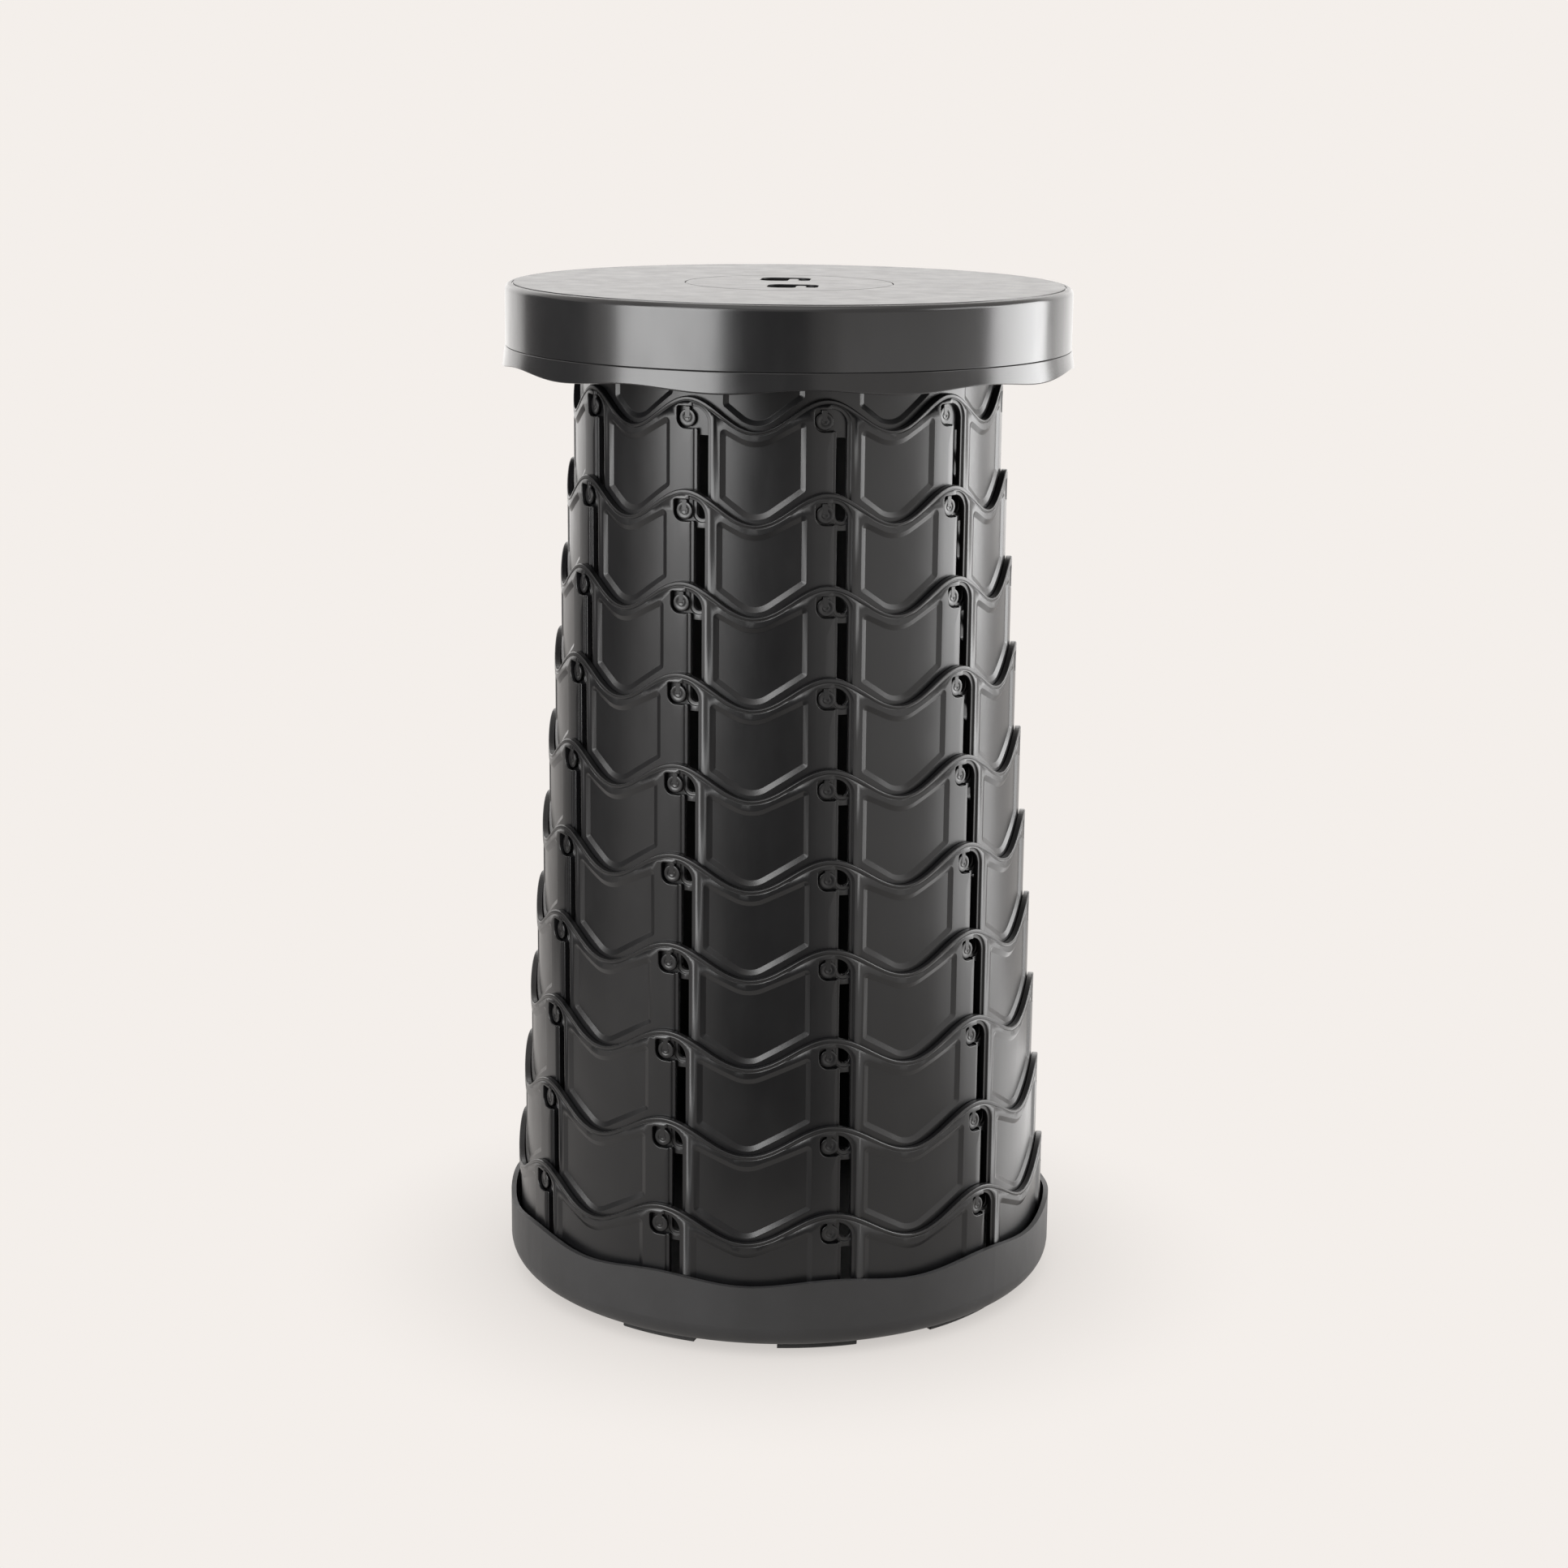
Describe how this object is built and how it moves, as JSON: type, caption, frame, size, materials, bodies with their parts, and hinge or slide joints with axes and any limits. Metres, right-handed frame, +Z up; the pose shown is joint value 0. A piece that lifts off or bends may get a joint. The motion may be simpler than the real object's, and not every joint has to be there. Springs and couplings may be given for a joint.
{
  "type": "collapsible telescopic stool",
  "caption": "Round telescopic stool of nested wavy-edged plastic rings between a flat seat and a low base, extended; it pushes down flat.",
  "frame": {"origin": "on the floor, in the middle of the round footprint, on the axis of the rings", "axes": "+Z up along the axis of the rings; +X through the middle of a slot; the picture looks towards +Y from about 3 degrees to the right of it"},
  "size_m": [0.2504, 0.2504, 0.45],
  "materials": {
    "seat_plastic": "near-black moulded plastic, satin top with a very fine grain, glossier skirt",
    "rim_plastic": "near-black moulded plastic, satin gloss",
    "ring_plastic": "near-black moulded nylon, satin gloss",
    "base_plastic": "near-black moulded plastic, softer and matter than the rings",
    "foot_rubber": "black rubber, matte",
    "screw_steel": "plain steel screws"
  },
  "bodies": {
    "base": {"base_cup": "base_plastic", "foot_pads": "foot_rubber", "base_screws": "screw_steel", "ring_10": "ring_plastic"},
    "stage_09": {"ring_09": "ring_plastic"},
    "stage_08": {"ring_08": "ring_plastic"},
    "stage_07": {"ring_07": "ring_plastic"},
    "stage_06": {"ring_06": "ring_plastic"},
    "stage_05": {"ring_05": "ring_plastic"},
    "stage_04": {"ring_04": "ring_plastic"},
    "stage_03": {"ring_03": "ring_plastic"},
    "stage_02": {"ring_02": "ring_plastic"},
    "stage_01": {"ring_01": "ring_plastic"},
    "seat": {"seat_cover": "seat_plastic", "seat_rim": "rim_plastic", "centre_cap": "seat_plastic", "seat_screws": "screw_steel", "ring_00": "ring_plastic"}
  },
  "joints": [
    {"name": "stage_09_slide", "type": "slide", "parent": "base", "child": "stage_09", "axis": [0, 0, 1], "range_m": [-0.038, 0]},
    {"name": "stage_08_slide", "type": "slide", "parent": "stage_09", "child": "stage_08", "axis": [0, 0, 1], "range_m": [-0.038, 0]},
    {"name": "stage_07_slide", "type": "slide", "parent": "stage_08", "child": "stage_07", "axis": [0, 0, 1], "range_m": [-0.038, 0]},
    {"name": "stage_06_slide", "type": "slide", "parent": "stage_07", "child": "stage_06", "axis": [0, 0, 1], "range_m": [-0.038, 0]},
    {"name": "stage_05_slide", "type": "slide", "parent": "stage_06", "child": "stage_05", "axis": [0, 0, 1], "range_m": [-0.038, 0]},
    {"name": "stage_04_slide", "type": "slide", "parent": "stage_05", "child": "stage_04", "axis": [0, 0, 1], "range_m": [-0.038, 0]},
    {"name": "stage_03_slide", "type": "slide", "parent": "stage_04", "child": "stage_03", "axis": [0, 0, 1], "range_m": [-0.038, 0]},
    {"name": "stage_02_slide", "type": "slide", "parent": "stage_03", "child": "stage_02", "axis": [0, 0, 1], "range_m": [-0.038, 0]},
    {"name": "stage_01_slide", "type": "slide", "parent": "stage_02", "child": "stage_01", "axis": [0, 0, 1], "range_m": [-0.038, 0]},
    {"name": "seat_slide", "type": "slide", "parent": "stage_01", "child": "seat", "axis": [0, 0, 1], "range_m": [-0.038, 0]}
  ]
}
